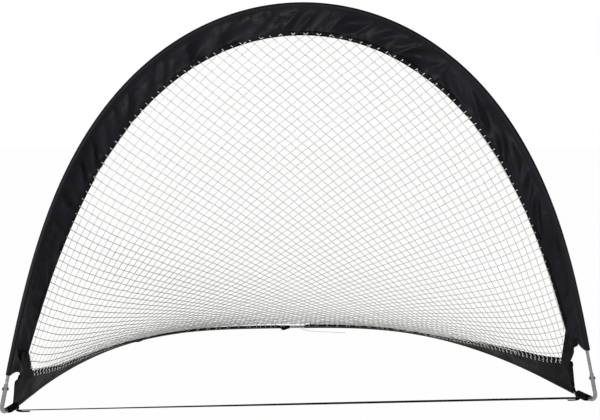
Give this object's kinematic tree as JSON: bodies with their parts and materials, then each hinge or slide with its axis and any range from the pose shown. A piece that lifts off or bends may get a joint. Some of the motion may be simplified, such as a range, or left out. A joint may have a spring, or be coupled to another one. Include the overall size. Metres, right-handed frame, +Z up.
{
  "type": "hockey goal net",
  "caption": "Portable pop-up goal: a sprung arch in a black fabric sleeve leans over a hoop on the ground, with a white diamond net between them and bent steel corner tubes.",
  "frame": {"origin": "middle of the bounding box, on the ground under it", "axes": "+X to the right for someone who looks into the mouth, +Y from the mouth to the back, +Z up"},
  "size_m": [1.8178, 1.1548, 1.2251],
  "materials": {
    "zinc_plated_steel": "satin",
    "dark_rivet_steel": "satin",
    "fibreglass": "matte",
    "black_nylon": "woven nylon",
    "black_webbing": "woven tape",
    "white_net_twine": "knotted twine",
    "grey_twine": "braided twine"
  },
  "bodies": {
    "base": {"corner_elbow_left": "zinc_plated_steel", "corner_elbow_right": "zinc_plated_steel", "pivot_rivet_left": "dark_rivet_steel", "pivot_rivet_right": "dark_rivet_steel", "base_rod_1": "fibreglass", "base_rod_2": "fibreglass", "base_rod_3": "fibreglass", "base_rod_4": "fibreglass", "base_rod_5": "fibreglass", "base_ferrule_1": "zinc_plated_steel", "base_ferrule_2": "zinc_plated_steel", "base_ferrule_3": "zinc_plated_steel", "base_ferrule_4": "zinc_plated_steel", "base_sleeve_left": "black_nylon", "base_sleeve_right": "black_nylon", "base_binding_left": "black_webbing", "base_binding_right": "black_webbing", "corner_gusset_left": "black_nylon", "corner_gusset_right": "black_nylon", "corner_loop_left": "black_webbing", "corner_loop_right": "black_webbing", "tape_knot_left": "black_webbing", "tape_knot_right": "black_webbing", "front_tape": "black_webbing", "net_panel_1a": "white_net_twine", "net_panel_1b": "white_net_twine", "net_panel_2a": "white_net_twine", "net_panel_2b": "white_net_twine", "net_panel_2c": "white_net_twine", "net_panel_3a": "white_net_twine", "net_panel_3b": "white_net_twine", "net_panel_3c": "white_net_twine", "net_panel_4a": "white_net_twine", "net_panel_4b": "white_net_twine", "net_panel_4c": "white_net_twine", "net_panel_5a": "white_net_twine", "net_panel_5b": "white_net_twine", "net_panel_5c": "white_net_twine", "net_panel_6a": "white_net_twine", "net_panel_6b": "white_net_twine", "rear_lashing": "grey_twine", "lashing_tail": "grey_twine"},
    "arch": {"arch_end_tube_left": "zinc_plated_steel", "arch_end_tube_right": "zinc_plated_steel", "arch_rod_1": "fibreglass", "arch_rod_2": "fibreglass", "arch_rod_3": "fibreglass", "arch_rod_4": "fibreglass", "arch_rod_5": "fibreglass", "arch_ferrule_1": "zinc_plated_steel", "arch_ferrule_2": "zinc_plated_steel", "arch_ferrule_3": "zinc_plated_steel", "arch_ferrule_4": "zinc_plated_steel", "arch_sleeve_left": "black_nylon", "arch_sleeve_right": "black_nylon", "arch_binding_left": "black_webbing", "arch_binding_right": "black_webbing"}
  },
  "joints": [
    {"name": "arch_fold", "type": "hinge", "parent": "base", "child": "arch", "pos_m": [0, -0.56773, 0.08275], "axis": [-1, 0, 0], "range_deg": [0, 73], "stiffness_Nm_per_rad": 8, "springref_deg": -6.88, "deforming": ["net_panel_1a", "net_panel_1b", "net_panel_2a", "net_panel_2b", "net_panel_2c", "net_panel_3a", "net_panel_3b", "net_panel_3c", "net_panel_4a", "net_panel_4b", "net_panel_4c", "net_panel_5a", "net_panel_5b", "net_panel_5c", "net_panel_6a", "net_panel_6b", "corner_gusset_left", "corner_gusset_right"]}
  ]
}
